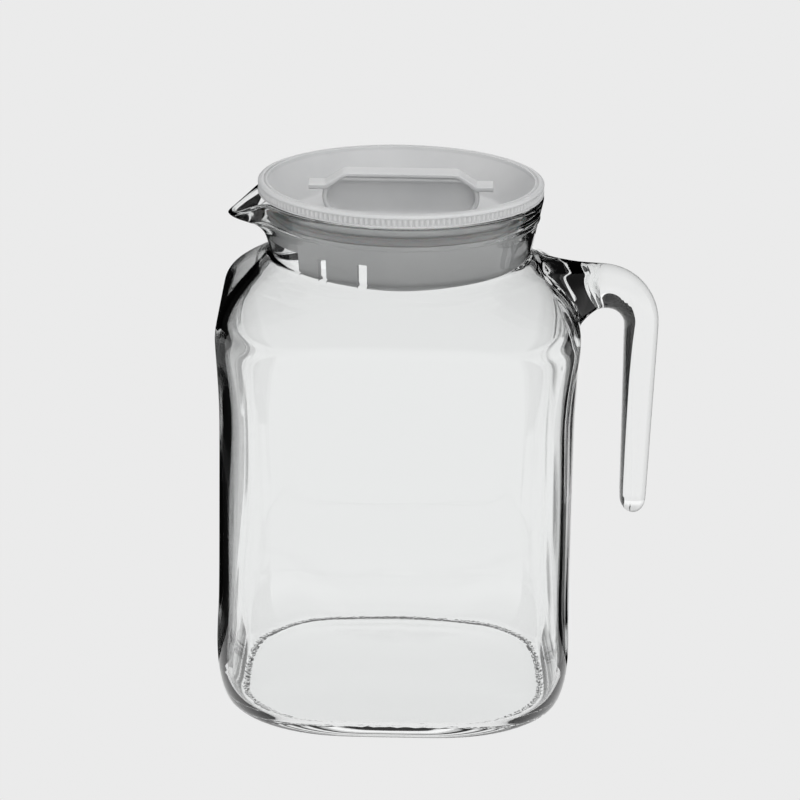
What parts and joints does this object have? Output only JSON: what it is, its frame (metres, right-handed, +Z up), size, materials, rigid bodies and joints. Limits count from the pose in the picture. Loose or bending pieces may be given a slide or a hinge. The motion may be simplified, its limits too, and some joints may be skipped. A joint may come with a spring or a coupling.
{
  "type": "water jug",
  "caption": "Square glass fridge jug with a cast open hook handle, drooping pouring beak and a push-in plastic strainer lid that turns and lifts off.",
  "frame": {"origin": "on the table under the middle of the jug, where the neck's upright axis meets the standing ring's plane", "axes": "+Z up along the neck's axis, +X towards the handle, -X towards the pouring beak"},
  "size_m": [0.1627, 0.133, 0.1996],
  "materials": {
    "glass": "clear fire-polished pressed glass",
    "lid_plastic": "light grey moulded polyethylene, satin",
    "seal": "grey silicone, matt"
  },
  "bodies": {
    "jug": {"glass_body": "glass", "glass_neck": "glass", "glass_handle": "glass"},
    "seal": {"seal_ring": "seal"},
    "lid": {"lid_skirt": "lid_plastic", "lid_dish": "lid_plastic", "lid_rim": "lid_plastic", "lid_grip": "lid_plastic"}
  },
  "joints": [
    {"name": "lid_lift", "type": "slide", "parent": "jug", "child": "seal", "axis": [0, 0, 1], "range_m": [0, 0.06]},
    {"name": "lid_turn", "type": "hinge", "parent": "seal", "child": "lid", "pos_m": [0, 0, 0.188], "axis": [0, 0, 1], "continuous": true}
  ]
}
